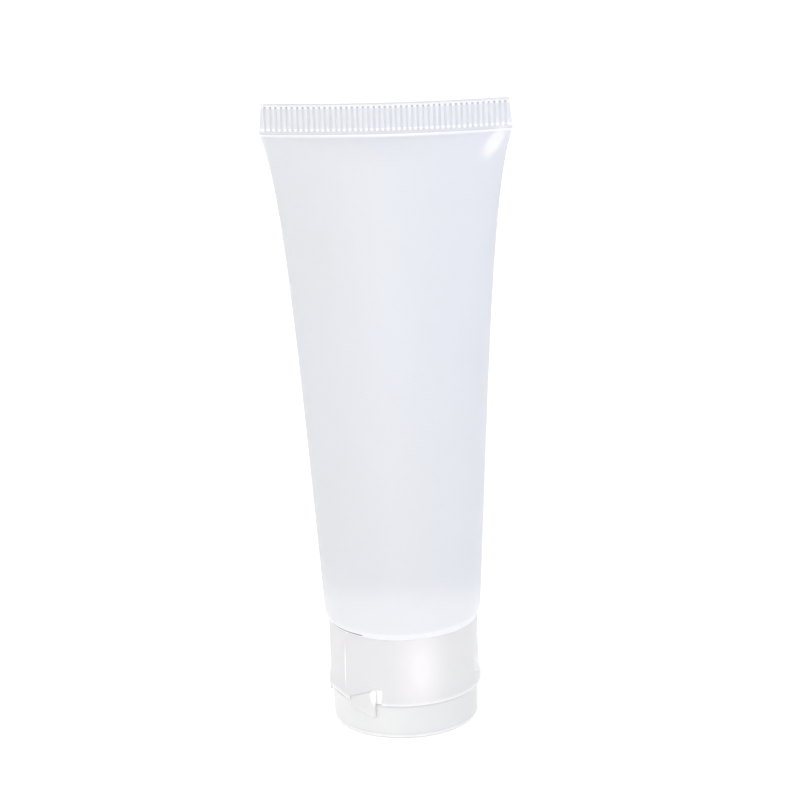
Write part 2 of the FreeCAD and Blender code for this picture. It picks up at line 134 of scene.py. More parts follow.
class CapSettings(bpy.types.PropertyGroup):
    radius: length("Radius", "Radius of the cap's skirt", 19.0 * MM)
    wall: length("Wall", "Thickness of the cap's skirt", 1.4 * MM)
    swell: length("Rim Swell", "How far the rim swells at the parting line", 0.45 * MM)
    lip_height: length("Lip Height", "Height of the rim's rounded lip", 1.3 * MM)
    rim_height: length("Rim Height", "Height over which the swell fades into the skirt", 4.6 * MM)
    deck_recess: length("Deck Recess", "Depth of the deck behind the parting line", 0.8 * MM)
    deck: length("Deck Thickness", "Thickness of the deck", 1.5 * MM)
    skirt_bore: length("Skirt Bore", "Inner radius of the threaded skirt", 9.8 * MM)
    skirt_wall: length("Skirt Wall", "Wall of the threaded skirt", 1.3 * MM)
    skirt_height: length("Skirt Height", "Height of the threaded skirt over the deck", 12 * MM)
    nozzle_bore: length("Nozzle Bore", "Radius of the nozzle's bore", 2.5 * MM)
    nozzle_wall: length("Nozzle Wall", "Wall of the nozzle", 1.2 * MM)
    nozzle_length: length("Nozzle Length", "Length of the nozzle under the deck", 4 * MM)
    snap_outer: length("Snap Ring Radius", "Outer radius of the ring that the lid snaps over", 16.75 * MM)
    snap_wall: length("Snap Ring Wall", "Wall of the snap ring", 0.9 * MM)
    snap_height: length("Snap Ring Height", "Height of the snap ring past the parting line", 1.6 * MM)
    facet_depth: length("Facet Depth", "Depth of the flat behind the hinge", 0.42 * MM)
    facet_tilt: turn("Facet Tilt", "Lean of the flat behind the hinge", 1.0)
    scoop_radius: length("Scoop Radius", "Radius of the thumb scoop", 14 * MM)
    scoop_depth: length("Scoop Depth", "Depth of the thumb scoop", 0.8 * MM)
    # Tint and shade: the cap's colour at its left, and the darker colour at its right, which is painted
    # shade.
    tint: colour("Cap Colour", "Colour of the frosted cap at its left", (0.84, 0.826, 0.836, 1))
    shade: colour("Cap Shade", "Colour that it drifts to at its right", (0.815, 0.822, 0.853, 1))
    # Painted highlight colour of the lip, the notches and the flat's edge.
    bright: colour("Cap Edge Colour", "Colour of the lip and the notches", (1, 1, 1, 1))
    # Painted highlight colour of the skirt's soft sheen.
    painted_sheen: colour("Cap Sheen Colour", "Colour of the skirt's soft highlight", (0.975, 0.95, 0.97, 1))
    roughness: share("Cap Roughness", "Roughness of the cap", 0.24)
    clearness: share("Cap Clearness", "How much light passes through the cap", 0.25)


class LidSettings(bpy.types.PropertyGroup):
    radius: length("Radius", "Radius of the lid at its rim", 18.55 * MM)
    draft: length("Draft", "How much narrower the lid is at its face", 0.25 * MM)
    wall: length("Wall", "Thickness of the lid", 1.3 * MM)
    edge: length("Edge Radius", "Radius of the lid's rounded edge", 1.2 * MM)
    plug_outer: length("Plug Radius", "Outer radius of the plug", 2.2 * MM)
    plug_wall: length("Plug Wall", "Wall of the plug", 0.6 * MM)
    plug_tip: length("Plug Tip", "Height of the plug's tip over the standing face", 8.3 * MM)
    # Tint and shade: the lid's colour at its left, and the darker colour at its right, which is painted
    # shade.
    tint: colour("Lid Colour", "Colour of the frosted lid at its left", (0.875, 0.875, 0.875, 1))
    shade: colour("Lid Shade", "Colour that it drifts to at its right", (0.785, 0.79, 0.813, 1))
    # Painted light on the rounded edge and the rim's top.
    bright: colour("Lid Edge Colour", "Colour of the rounded edge and the rim's top", (1, 1, 1, 1))
    # The line under the rim is painted shade at the parting line.
    line: colour("Lid Line Colour", "Darkest colour of the lid's faint lines", (0.6, 0.6, 0.62, 1))
    roughness: share("Lid Roughness", "Roughness of the lid", 0.3)
    clearness: share("Lid Clearness", "How much light passes through the lid", 0.2)


class HingeSettings(bpy.types.PropertyGroup):
    bearing: turn("Bearing", "Bearing of the hinge from the front", -64)
    near: turn("Inner Offset", "Bearing from the hinge to a web's short end", 19)
    far: turn("Outer Offset", "Bearing from the hinge to a web's tall end", 41)
    thickness: length("Web Thickness", "Thickness of a web", 0.5 * MM)
    clearance: length("Web Clearance", "Gap round a web", 0.2 * MM)
    short_height: length("Short End", "Height of a web's short end", 2.4 * MM)
    rise: length("Rise", "How far the tall end stands over the parting line", 4.0 * MM)
    fall: length("Fall", "How far the tall end hangs under the parting line", 3.4 * MM)
    window_width: length("Window Width", "Width of the notch past the tall end", 2.0 * MM)
    window_depth: length("Window Depth", "Depth of the notch past the tall end", 0.9 * MM)
    tint: colour("Web Colour", "Colour of the thin web", (0.925, 0.925, 0.93, 1))


class StageSettings(bpy.types.PropertyGroup):
    floor: colour("Floor Colour", "Colour of the plain floor", (0.97, 0.97, 0.97, 1))
    distance: length("Camera Distance", "From the camera to the aim point", 1.2, 10.0)
    elevation: turn("Camera Elevation", "How far the camera looks down", 18.95)
    bearing: turn("Camera Bearing", "Bearing of the camera from the front", 1.55)
    roll: turn("Camera Roll", "Roll of the camera", 2.02)
    aim_side: bpy.props.FloatProperty(
        name="Aim Side", description="Sideways place of the aim point", default=1.15 * MM, unit="LENGTH")
    aim_height: length("Aim Height", "Height of the aim point", 84.87 * MM)
    focal: bpy.props.FloatProperty(
        name="Focal Length", description="Focal length on a 36 mm sensor", default=214.15, unit="CAMERA")
    floor_glow: share("Floor Light", "Strength of the light that the floor gives off", 0.12, 10.0)
    room: share("Room Light", "Strength of the even light from all round", 1.02, 10.0)


# Modelling helpers

def clear_selection():
    """Leaves edit mode and deselects everything."""
    if bpy.context.object is not None and bpy.context.object.mode != "OBJECT":
        bpy.ops.object.mode_set(mode="OBJECT")
    bpy.ops.object.select_all(action="DESELECT")


def pick(piece, *others):
    """Selects only these pieces, the first one active."""
    clear_selection()
    for each in (piece, *others):
        each.select_set(True)
    bpy.context.view_layer.objects.active = piece


def bake_place(piece):
    """Puts a piece's place, turn and scale into its mesh."""
    pick(piece)
    bpy.ops.object.transform_apply(location=True, rotation=True, scale=True)


def select_where(piece, test):
    """Selects in edit mode the vertices whose place passes a test."""
    bpy.ops.object.mode_set(mode="EDIT")
    bpy.ops.mesh.select_mode(type="VERT")
    bpy.ops.mesh.select_all(action="DESELECT")
    bpy.ops.object.mode_set(mode="OBJECT")
    for vertex in piece.data.vertices:
        vertex.select = test(vertex.co)
    bpy.ops.object.mode_set(mode="EDIT")


def face_outwards():
    """Turns all faces of the piece in edit mode outwards and leaves edit mode."""
    bpy.ops.mesh.select_all(action="SELECT")
    bpy.ops.mesh.normals_make_consistent(inside=False)
    bpy.ops.object.mode_set(mode="OBJECT")


def split_at(piece, *heights):
    """Adds level loops, so that a tone ends there or the mesh has more rows of edges there."""
    pick(piece)
    bpy.ops.object.mode_set(mode="EDIT")
    for height in heights:
        bpy.ops.mesh.select_all(action="SELECT")
        bpy.ops.mesh.bisect(plane_co=(0, 0, height), plane_no=(0, 0, 1))
    bpy.ops.object.mode_set(mode="OBJECT")


def closed_rings(name, rings, segments):
    """A closed shell drawn ring by ring. Each ring is a half width, a half depth and a height.
    The last ring falls on the first one."""
    clear_selection()
    wide, deep, height = rings[0]
    bpy.ops.mesh.primitive_circle_add(vertices=segments, radius=1, location=(0, 0, height))
    piece = bpy.context.object
    piece.name = name
    piece.data.name = name
    piece.scale = (wide, deep, 1)
    bake_place(piece)
    bpy.ops.object.mode_set(mode="EDIT")
    bpy.ops.mesh.select_all(action="SELECT")
    for ring in rings[1:] + rings[:1]:
        bpy.ops.mesh.extrude_region_move(TRANSFORM_OT_translate={"value": (0, 0, ring[2] - height)})
        bpy.ops.transform.resize(value=(ring[0] / wide, ring[1] / deep, 1), center_override=(0, 0, ring[2]))
        wide, deep, height = ring
    bpy.ops.mesh.select_all(action="SELECT")
    bpy.ops.mesh.remove_doubles(threshold=MERGE)
    face_outwards()
    return piece


def turned_ring(name, outline, segments=192):
    """A closed ring turned from an outline of radii and heights."""
    return closed_rings(name, [(radius, radius, height) for radius, height in outline], segments)


def arc(centre, radius, start, end, steps=6):
    """Outline points along an arc, its angles in degrees from the outward radius."""
    points = []
    for step in range(steps + 1):
        angle = math.radians(start + (end - start) * step / steps)
        points.append((centre[0] + radius * math.cos(angle), centre[1] + radius * math.sin(angle)))
    return points


def use_modifier(piece, kind, **settings):
    """Adds a modifier, sets it and applies it."""
    pick(piece)
    modifier = piece.modifiers.new(kind.title(), kind)
    for setting, setting_value in settings.items():
        setattr(modifier, setting, setting_value)
    bpy.ops.object.modifier_apply(modifier=modifier.name)


def soften(piece, width):
    """Rounds the sharp edges of a piece."""
    use_modifier(
        piece, "BEVEL", width=width, segments=2, limit_method="ANGLE", angle_limit=SMOOTH_ANGLE)


def smooth(piece):
    """Shades the piece smooth, apart from its sharp edges."""
    pick(piece)
    bpy.ops.object.shade_smooth_by_angle(angle=SMOOTH_ANGLE)


def cut_away(piece, tool):
    """Cuts a tool out of a piece and deletes the tool."""
    use_modifier(piece, "BOOLEAN", operation="DIFFERENCE", object=tool, solver="EXACT")
    bpy.data.objects.remove(tool, do_unlink=True)


def prism(name, outline, reach):
    """A block with an outline in the XZ plane that runs from the axis towards the front."""
    clear_selection()
    bpy.ops.mesh.primitive_plane_add(size=1, rotation=(math.pi / 2, 0, 0))
    block = bpy.context.object
    block.name = name
    bake_place(block)
    low_left, low_right, high_right, high_left = outline
    for vertex in block.data.vertices:
        left, right = (low_left, low_right) if vertex.co.z < 0 else (high_left, high_right)
        x, z = left if vertex.co.x < 0 else right
        vertex.co = Vector((x, 0, z))
    bpy.ops.object.mode_set(mode="EDIT")
    bpy.ops.mesh.select_all(action="SELECT")
    bpy.ops.mesh.extrude_region_move(TRANSFORM_OT_translate={"value": (0, -reach, 0)})
    face_outwards()
    return block


def curved_plate(name, outline, side, inner, outer):
    """A plate between two radii, cut to an outline about the parting line at a web's middle bearing."""
    hinge = bpy.context.scene.bottle_hinge
    low, high = PARTING - 6 * MM, PARTING + 6 * MM
    plate = turned_ring(name, [(inner, low), (outer, low), (outer, high), (inner, high)], 360)
    corners = [(x, PARTING + z) for x, z in outline]
    block = prism(f"{name}_outline", corners, outer + MM)
    use_modifier(plate, "BOOLEAN", operation="INTERSECT", object=block, solver="EXACT")
    bpy.data.objects.remove(block, do_unlink=True)
    middle = (hinge.near + hinge.far) / 2
    if side < 0:
        plate.data.transform(Matrix.Scale(-1, 4, Vector((1, 0, 0))))
        plate.data.flip_normals()
    plate.data.transform(Matrix.Rotation(hinge.bearing + side * middle, 4, "Z"))
    return plate


def web_reach(hinge, outer):
    """Half the width of a web, seen straight on."""
    return outer * math.sin((hinge.far - hinge.near) / 2)


def web_outline(hinge, outer, margin):
    """A web's outline, grown by a margin. Its short end is beside the hinge line, its tall end away."""
    reach = web_reach(hinge, outer)
    short = hinge.short_height / 2
    return [
        (-reach - margin, -short - margin),
        (reach + margin, -hinge.fall - margin),
        (reach + margin, hinge.rise + margin),
        (-reach - margin, short + margin),
    ]


def dress(piece, material):
    """Gives a piece this material alone."""
    piece.data.materials.clear()
    piece.data.materials.append(material)


def finish(piece, body, material, node):
    """Gives a piece its material and its body, and hides the node that it stands for."""
    dress(piece, material)
    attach(piece, body)
    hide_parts(node)


# Materials

# Painted shade: between these places along X the colour goes from Tint to Shade, darker towards each piece's
# right.
SIDE_SHADE_FROM, SIDE_SHADE_TO = -15 * MM, 20 * MM


def ramp(nodes, links, amount, low, high):
    """Stretches the span from low to high over 0 to 1."""
    stretch = nodes.new("ShaderNodeMapRange")
    stretch.inputs["From Min"].default_value = low
    stretch.inputs["From Max"].default_value = high
    links.new(amount, stretch.inputs["Value"])
    return stretch.outputs["Result"]


def mixed(nodes, links, amount, first, second):
    """Mixes two colours, each of them a socket or a plain value."""
    mix = nodes.new("ShaderNodeMix")
    mix.data_type = "RGBA"
    links.new(amount, mix.inputs["Factor"])
    for place, shown in ((6, first), (7, second)):
        if isinstance(shown, bpy.types.NodeSocket):
            links.new(shown, mix.inputs[place])
        else:
            mix.inputs[place].default_value = shown
    return mix.outputs[2]


def plastic_mottle_and_side_shade():
    """The shared effect of moulded plastic: cloudy colour, drawn streaks and a fine surface ripple, and
    painted shade that darkens each piece towards its right.
    """
    found = bpy.data.node_groups.get("Moulded Plastic Mottle And Side Shade")
    if found:
        return found
    group = bpy.data.node_groups.new("Moulded Plastic Mottle And Side Shade", "ShaderNodeTree")
    sockets = group.interface.new_socket
    sockets("Tint", in_out="INPUT", socket_type="NodeSocketColor")
    sockets("Shade", in_out="INPUT", socket_type="NodeSocketColor")
    for name, default in (
            ("Cloud Scale", 40.0), ("Streak Scale", 300.0), ("Roughness", 0.35),
            ("Mottle", 0.04), ("Side Shade", 0.7)):
        sockets(name, in_out="INPUT", socket_type="NodeSocketFloat").default_value = default
    sockets("Colour", in_out="OUTPUT", socket_type="NodeSocketColor")
    sockets("Roughness", in_out="OUTPUT", socket_type="NodeSocketFloat")
    sockets("Height", in_out="OUTPUT", socket_type="NodeSocketFloat")
    nodes, links = group.nodes, group.links
    inputs = nodes.new("NodeGroupInput")
    outputs = nodes.new("NodeGroupOutput")
    places = nodes.new("ShaderNodeTexCoord")
    cloud = nodes.new("ShaderNodeTexNoise")
    cloud.inputs["Detail"].default_value = 2
    stretch = nodes.new("ShaderNodeMapping")
    stretch.inputs["Scale"].default_value = (1, 1, 0.06)
    streak = nodes.new("ShaderNodeTexNoise")
    streak.inputs["Detail"].default_value = 3
    links.new(places.outputs["Object"], cloud.inputs["Vector"])
    links.new(inputs.outputs["Cloud Scale"], cloud.inputs["Scale"])
    links.new(places.outputs["Object"], stretch.inputs["Vector"])
    links.new(stretch.outputs["Vector"], streak.inputs["Vector"])
    links.new(inputs.outputs["Streak Scale"], streak.inputs["Scale"])
    split = nodes.new("ShaderNodeSeparateXYZ")
    links.new(places.outputs["Object"], split.inputs["Vector"])
    # Painted shade: the colour goes from Tint to Shade towards the piece's right, mixed with the random
    # cloud.
    side_shade_mix = nodes.new("ShaderNodeMix")
    links.new(inputs.outputs["Side Shade"], side_shade_mix.inputs["Factor"])
    links.new(ramp(nodes, links, cloud.outputs["Fac"], 0.35, 0.65), side_shade_mix.inputs["A"])
    links.new(ramp(nodes, links, split.outputs["X"], SIDE_SHADE_FROM, SIDE_SHADE_TO), side_shade_mix.inputs["B"])
    shaded_colour = mixed(nodes, links, side_shade_mix.outputs["Result"], inputs.outputs["Tint"], inputs.outputs["Shade"])
    links.new(shaded_colour, outputs.inputs["Colour"])
    mottle = nodes.new("ShaderNodeMath")
    mottle.operation = "MULTIPLY_ADD"
    links.new(streak.outputs["Fac"], mottle.inputs[0])
    links.new(inputs.outputs["Mottle"], mottle.inputs[1])
    links.new(inputs.outputs["Roughness"], mottle.inputs[2])
    links.new(mottle.outputs["Value"], outputs.inputs["Roughness"])
    links.new(streak.outputs["Fac"], outputs.inputs["Height"])
    return group


def plastic(name, tint, shade, roughness, clearness, ior=1.25, ripple=0.05, cloud=40.0, streak=300.0):
    """A milky moulded plastic, painted darker towards its right as painted shade. Returns the material, its
    shader and its mottle and shade group.
    """
    material = bpy.data.materials.new(name)
    material.use_nodes = True
    nodes, links = material.node_tree.nodes, material.node_tree.links
    shader = nodes["Principled BSDF"]
    shader.inputs["IOR"].default_value = ior
    shader.inputs["Transmission Weight"].default_value = clearness
    mottle_and_shade = nodes.new("ShaderNodeGroup")
    mottle_and_shade.node_tree = plastic_mottle_and_side_shade()
    mottle_and_shade.inputs["Tint"].default_value = tint
    mottle_and_shade.inputs["Shade"].default_value = shade
    mottle_and_shade.inputs["Cloud Scale"].default_value = cloud
    mottle_and_shade.inputs["Streak Scale"].default_value = streak
    mottle_and_shade.inputs["Roughness"].default_value = roughness
    bump = nodes.new("ShaderNodeBump")
    bump.inputs["Strength"].default_value = ripple
    bump.inputs["Distance"].default_value = 0.2 * MM
    links.new(mottle_and_shade.outputs["Colour"], shader.inputs["Base Color"])
    links.new(mottle_and_shade.outputs["Roughness"], shader.inputs["Roughness"])
    links.new(mottle_and_shade.outputs["Height"], bump.inputs["Height"])
    links.new(bump.outputs["Normal"], shader.inputs["Normal"])
    return material, shader, mottle_and_shade


def add_glow(material, shader, amount, strength):
    """Adds a faint painted glow, an emission where a mask asks for it, which brightens painted highlights.
    """
    nodes, links = material.node_tree.nodes, material.node_tree.links
    scaled = nodes.new("ShaderNodeMath")
    scaled.operation = "MULTIPLY_ADD"
    scaled.inputs[1].default_value = strength
    scaled.inputs[2].default_value = 0
    links.new(amount, scaled.inputs[0])
    earlier = shader.inputs["Emission Color"].links
    if earlier:
        links.new(earlier[0].from_socket, scaled.inputs[2])
    shader.inputs["Emission Strength"].default_value = 1.0
    links.new(scaled.outputs["Value"], shader.inputs["Emission Color"])


def add_rim_light(material, shader, strength):
    """Paints a faint glow on the thin outline of the translucent plastic: a painted rim light."""
    facing = material.node_tree.nodes.new("ShaderNodeLayerWeight")
    facing.inputs["Blend"].default_value = 0.15
    add_glow(material, shader, facing.outputs["Facing"], strength)


def add_whitening(material, shader, source, place, turn_angle, size, whitened, glow=0.0, full=0.25):
    """Paints a leaf-shaped spot whiter, with a faint painted glow: used for painted highlights and for a
    fold's whitening.
    """
    nodes, links = material.node_tree.nodes, material.node_tree.links
    places = nodes.new("ShaderNodeTexCoord")
    move = nodes.new("ShaderNodeMapping")
    move.vector_type = "TEXTURE"
    move.inputs["Location"].default_value = place
    move.inputs["Rotation"].default_value = (0, turn_angle, 0)
    move.inputs["Scale"].default_value = size
    leaf = nodes.new("ShaderNodeTexGradient")
    leaf.gradient_type = "QUADRATIC_SPHERE"
    links.new(places.outputs["Object"], move.inputs["Vector"])
    links.new(move.outputs["Vector"], leaf.inputs["Vector"])
    amount = ramp(nodes, links, leaf.outputs["Fac"], 0.0, full)
    source = mixed(nodes, links, amount, source, whitened)
    links.new(source, shader.inputs["Base Color"])
    add_glow(material, shader, amount, glow)
    return source


def add_tones(material, shader, source, light, dark, glow):
    """Mixes in a lighter and a darker colour where the piece's tone attribute asks for them: mostly painted
    highlights and painted shade, the lighter one with a faint painted glow.
    """
    nodes, links = material.node_tree.nodes, material.node_tree.links
    tone = nodes.new("ShaderNodeAttribute")
    tone.attribute_name = "tone"
    for toned, full in ((light, 1.0), (dark, -1.0)):
        amount = ramp(nodes, links, tone.outputs["Fac"], 0.0, full)
        source = mixed(nodes, links, amount, source, toned)
        if full > 0:
            add_glow(material, shader, amount, glow)
    links.new(source, shader.inputs["Base Color"])
    return source


# Tube

WIDENING = ((0.65, 0), (0.25, 4), (0.10, 20))
DEPTH_POWER = 0.55
BOW_POWER = 6
LEAST_BOW = -0.05
LEAST_HALF_DEPTH = 0.12 * MM
SHOULDER_DROPS = (1, 0.96, 0.94, 0.86, 0.84, 0.8, 0.7, 0.55, 0.4, 0.25, 0.12)
CREASE_TOP = Vector((29.9 * MM, 155.4 * MM))
CREASE_FOOT = Vector((23.7 * MM, 148.2 * MM))
CREASE_HALF = 1.5 * MM
CREASE_DEPTH = 0.35 * MM
# Painted light: the wall is painted lighter over the shoulder, up to this height and fading over this span.
LIT_SHOULDER_TOP = 38 * MM
LIT_SHOULDER_FADE = 8 * MM


def tube_section(tube, along):
    """Half width and half depth of the wall's outside at a share of its length."""
    flat_half_width = math.pi * tube.radius / 2
    along = min(along, 1.0)
    spread = along * sum(part * along ** power for part, power in WIDENING)
    half_width = tube.radius + (flat_half_width - tube.radius) * spread
    thinnest = tube.crimp_thickness / 2 - tube.crimp_step
    return half_width, max(tube.radius * (1 - along) ** DEPTH_POWER, thinnest)


def tube_span(tube):
    """Where the wall starts to flatten, and how far it is from there to the seal."""
    start = SLEEVE_LOW.z + tube.round_height
    return start, SLEEVE_HIGH.z - tube.crimp_height - start


def skin_rings(tube, inset, shares):
    """Rings of the wall's outside, drawn in by an inset."""
    start, reach = tube_span(tube)
    rings = []
    for drop in SHOULDER_DROPS:
        radius = tube.radius - tube.round_inset * drop ** 2 - inset
        foot_gap = tube.joint_cover if drop == 1 else 0
        rings.append((radius, radius, start - tube.round_height * drop - foot_gap))
    for along in shares:
        half_width, half_depth = tube_section(tube, along)
        rings.append((half_width - inset, max(half_depth - inset, LEAST_HALF_DEPTH), start + reach * along))
    return rings


def bow_forward(tube, place):
    """How far a place on the tube bows to the front, which fades out below the seal."""
    start, reach = tube_span(tube)
    along = min(max((place.z - start) / reach, 0), 1)
    half_width = tube_section(tube, along)[0]
    return tube.crimp_bow * along ** BOW_POWER * max(1 - (place.x / half_width) ** 2, LEAST_BOW)


def crease_depth(place):
    """A pinched fold that runs down from the right end of the seal, on the front."""
    if place.y > 0:
        return 0.0
    fold = CREASE_FOOT - CREASE_TOP
    spot = Vector((place.x, place.z)) - CREASE_TOP
    along = spot.dot(fold) / fold.length_squared
    if not 0 < along < 1:
        return 0.0
    across = (spot - fold * along).length
    side = 1 if fold.x * spot.y - fold.y * spot.x > 0 else -1
    swell = math.sin(math.pi * along)
    reach = across / (CREASE_HALF * swell ** 0.7)
    return side * CREASE_DEPTH * swell * math.sin(math.pi * min(reach, 1.0))


def make_seal(tube):
    """The crimped seal: a pressed groove modelled once, repeated along the strip and closed all round."""
    foot = SLEEVE_HIGH.z - tube.crimp_height
    rib_foot, rib_top = foot + tube.rib_foot, SLEEVE_HIGH.z - tube.rib_top
    half = tube.crimp_thickness / 2
    half_width = tube_section(tube, 1.0)[0]
    clear_selection()
    bpy.ops.mesh.primitive_plane_add(size=1, rotation=(math.pi / 2, 0, 0))
    seal = bpy.context.object
    seal.name = "seal"
    seal.scale = (tube.rib_pitch, rib_top - rib_foot, 1)
    seal.location = (-(tube.ribs - 1) / 2 * tube.rib_pitch, -half, (rib_top + rib_foot) / 2)
    bake_place(seal)
    bpy.ops.object.mode_set(mode="EDIT")
    bpy.ops.mesh.select_all(action="SELECT")
    bpy.ops.mesh.inset(thickness=tube.rib_edge, depth=0)
    for slope in (0.16 * MM, 0.12 * MM):
        bpy.ops.mesh.inset(thickness=slope, depth=-0.5 * tube.rib_groove)
    split_at(
        seal, rib_foot + 0.35 * MM, rib_foot + 0.8 * MM, rib_foot + 0.95 * MM,
        rib_top - 1.0 * MM, rib_top - 0.85 * MM)
    use_modifier(
        seal, "ARRAY", count=tube.ribs, use_relative_offset=False, use_constant_offset=True,
        constant_offset_displace=(tube.rib_pitch, 0, 0), use_merge_vertices=True, merge_threshold=HAIR)
    select_where(seal, lambda co: co.z > rib_top - HAIR)
    bpy.ops.mesh.extrude_region_move(TRANSFORM_OT_translate={"value": (0, 0, tube.rib_top)})
    select_where(seal, lambda co: co.z < rib_foot + HAIR)
    bpy.ops.mesh.extrude_region_move(TRANSFORM_OT_translate={"value": (0, 0, -tube.rib_foot)})
    edge = tube.ribs / 2 * tube.rib_pitch
    for side in (-1, 1):
        select_where(seal, lambda co: co.x * side > edge - HAIR)
        bpy.ops.mesh.extrude_region_move(TRANSFORM_OT_translate={"value": (side * MM, 0, 0)})
    bpy.ops.object.mode_set(mode="OBJECT")
    for vertex in seal.data.vertices:
        if abs(vertex.co.x) > edge + 0.1 * MM:
            rise = (vertex.co.z - foot) / tube.crimp_height
            vertex.co.x = math.copysign(half_width - tube.crimp_splay * rise, vertex.co.x)
    bpy.ops.object.mode_set(mode="EDIT")
    bpy.ops.mesh.select_all(action="SELECT")
    bpy.ops.mesh.duplicate_move()
    bpy.ops.transform.rotate(value=math.pi, orient_axis="Z", center_override=(0, 0, 0))
    bpy.ops.mesh.select_all(action="DESELECT")
    bpy.ops.mesh.select_mode(type="EDGE")
    bpy.ops.mesh.select_non_manifold(extend=False)
    bpy.ops.mesh.bridge_edge_loops()
    bpy.ops.mesh.select_mode(type="VERT")
    face_outwards()
    tone_seal(seal, tube, rib_foot, rib_top)
    return seal


def set_tones(piece, tone_at):
    """Stores how much lighter or darker each place is painted, from 1 to -1."""
    tones = piece.data.attributes.new("tone", "FLOAT", "POINT")
    for vertex, tone in zip(piece.data.vertices, tones.data):
        tone.value = tone_at(vertex.co)


def tone_seal(seal, tube, rib_foot, rib_top):
    """Paints shade into the pressed grooves, most at their tops, and paints highlights on both ends of each
    rib; the plain bands and the seal's ends are a little darker.
    """
    half = tube.crimp_thickness / 2
    end = tube.ribs / 2 * tube.rib_pitch + 0.1 * MM
    dots_low, dots_high = rib_foot + 0.33 * MM, rib_foot + 0.85 * MM
    tips_low, tips_high = rib_top - 0.9 * MM, rib_top - 0.2 * MM

    def tone_at(co):
        if abs(co.x) > end:
            return -0.2
        if abs(co.y) < half - 0.05 * MM:
            return -0.5 if co.z > tips_low else -0.2
        if dots_low < co.z < dots_high:
            return 0.9
        if tips_low < co.z < tips_high:
            return 0.3
        return -0.12 if co.z > dots_high else -0.24

    set_tones(seal, tone_at)


class BOTTLE_OT_tube(bpy.types.Operator):
    """The soft tube wall with its crimped seal"""
    bl_idname = "bottle.tube"
    bl_label = "Tube Wall"

    def execute(self, context):
        tube = context.scene.bottle_tube
        shares = [step / 40 for step in range(37)]
        shares += [0.915, 0.93, 0.945, 0.958, 0.97, 0.98, 0.988, 0.994, 0.998]
        outside = skin_rings(tube, 0.0, shares) + self.bead_rings(tube)
        inside = skin_rings(tube, tube.wall, shares[:-1])
        skin = closed_rings("tube_wall", outside + inside[::-1], 200)
        seal = make_seal(tube)
        self.tone_skin(skin, tube)
        pick(skin, seal)
        bpy.ops.object.join()
        for vertex in skin.data.vertices:
            vertex.co.y -= bow_forward(tube, vertex.co) + crease_depth(vertex.co)
        smooth(skin)
        material, shader, source = plastic(
            "milky_tube", tube.tint, tube.shade, tube.roughness, tube.clearness,
            ior=1.4, ripple=0.03, cloud=22.0)
        # Painted light and painted shade from the tone attribute, with a faint painted glow.
        toned = add_tones(material, shader, source.outputs["Colour"], tube.fold_white_and_highlight, tube.groove_shade, 0.1)
        # The fold at the seal's right end is painted whiter: partly stress whitening of the plastic, partly
        # a painted highlight.
        add_whitening(
            material, shader, toned, (26.8 * MM, -3.5 * MM, 152.2 * MM), math.radians(38),
            (2.6 * MM, 8 * MM, 6.6 * MM), tube.fold_white_and_highlight, 0.03)
        add_rim_light(material, shader, 0.05)
        finish(skin, "tube", material, "tube_sleeve")
        return {"FINISHED"}

    def bead_rings(self, tube):
        """The bead that the pressing tool raises under the seal, and the wall's end inside the seal."""
        foot = SLEEVE_HIGH.z - tube.crimp_height
        half = tube.crimp_thickness / 2
        half_width, half_depth = tube_section(tube, 1.0)
        rings = [(half_width, half_depth, foot - tube.bead)]
        for step in range(1, 6):
            climb = step / 5
            swell = tube.bead_swell * math.sin(math.pi * climb) ** 0.6
            rings.append((half_width, half - 0.04 * MM + swell, foot - tube.bead * (1 - climb)))
        rings.append((half_width - 0.1 * MM, half_depth - 0.1 * MM, foot + 0.5 * MM))
        return rings

    def tone_skin(self, skin, tube):
        """Over the shoulder that it is welded to, the wall is painted whiter: painted light from the head
        seen through it. Its foot and the bead under the seal are painted whiter as painted highlights.
        Beside the hinge, where its foot stands off the shoulder, a slit stays open; its darkness is painted
        onto the wall as painted shade."""
        seal_foot = SLEEVE_HIGH.z - tube.crimp_height
        slit_shade_low, slit_shade_high = SLEEVE_LOW.z + 0.2 * MM, SLEEVE_LOW.z + 0.56 * MM
        slit_shade_start, slit_shade_end = math.radians(-68), math.radians(-31)

        def tone_at(co):
            if slit_shade_low < co.z < slit_shade_high and slit_shade_start < math.atan2(co.x, -co.y) < slit_shade_end:
                return -1.0
            if co.z < SLEEVE_LOW.z + 1.2 * MM:
                return 0.6
            shoulder_light = min(max((LIT_SHOULDER_TOP - 0.3 * co.y - co.z) / LIT_SHOULDER_FADE, 0), 1)
            line = min(max((co.z - seal_foot + tube.bead + 0.1 * MM) / (0.1 * MM), 0), 1)
            return max(0.32 * shoulder_light * shoulder_light * (3 - 2 * shoulder_light), line)

        set_tones(skin, tone_at)


class BOTTLE_OT_head(bpy.types.Operator):
    """The finish of the threaded head and of the sealing washer inside the cap"""
    bl_idname = "bottle.head"
    bl_label = "Head and Washer"

    def execute(self, context):
        head, _, _ = plastic("head_plastic", (0.95, 0.95, 0.955, 1), (0.93, 0.935, 0.945, 1), 0.35, 0.2)
        foam, _, _ = plastic(
            "washer_foam", (0.88, 0.88, 0.86, 1), (0.8, 0.8, 0.78, 1), 0.8, 0.0, ripple=0.5,
            cloud=900.0, streak=2500.0)
        for node, material in (("tube_head", head), ("sealing_washer", foam)):
            dress(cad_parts[node], material)
        return {"FINISHED"}


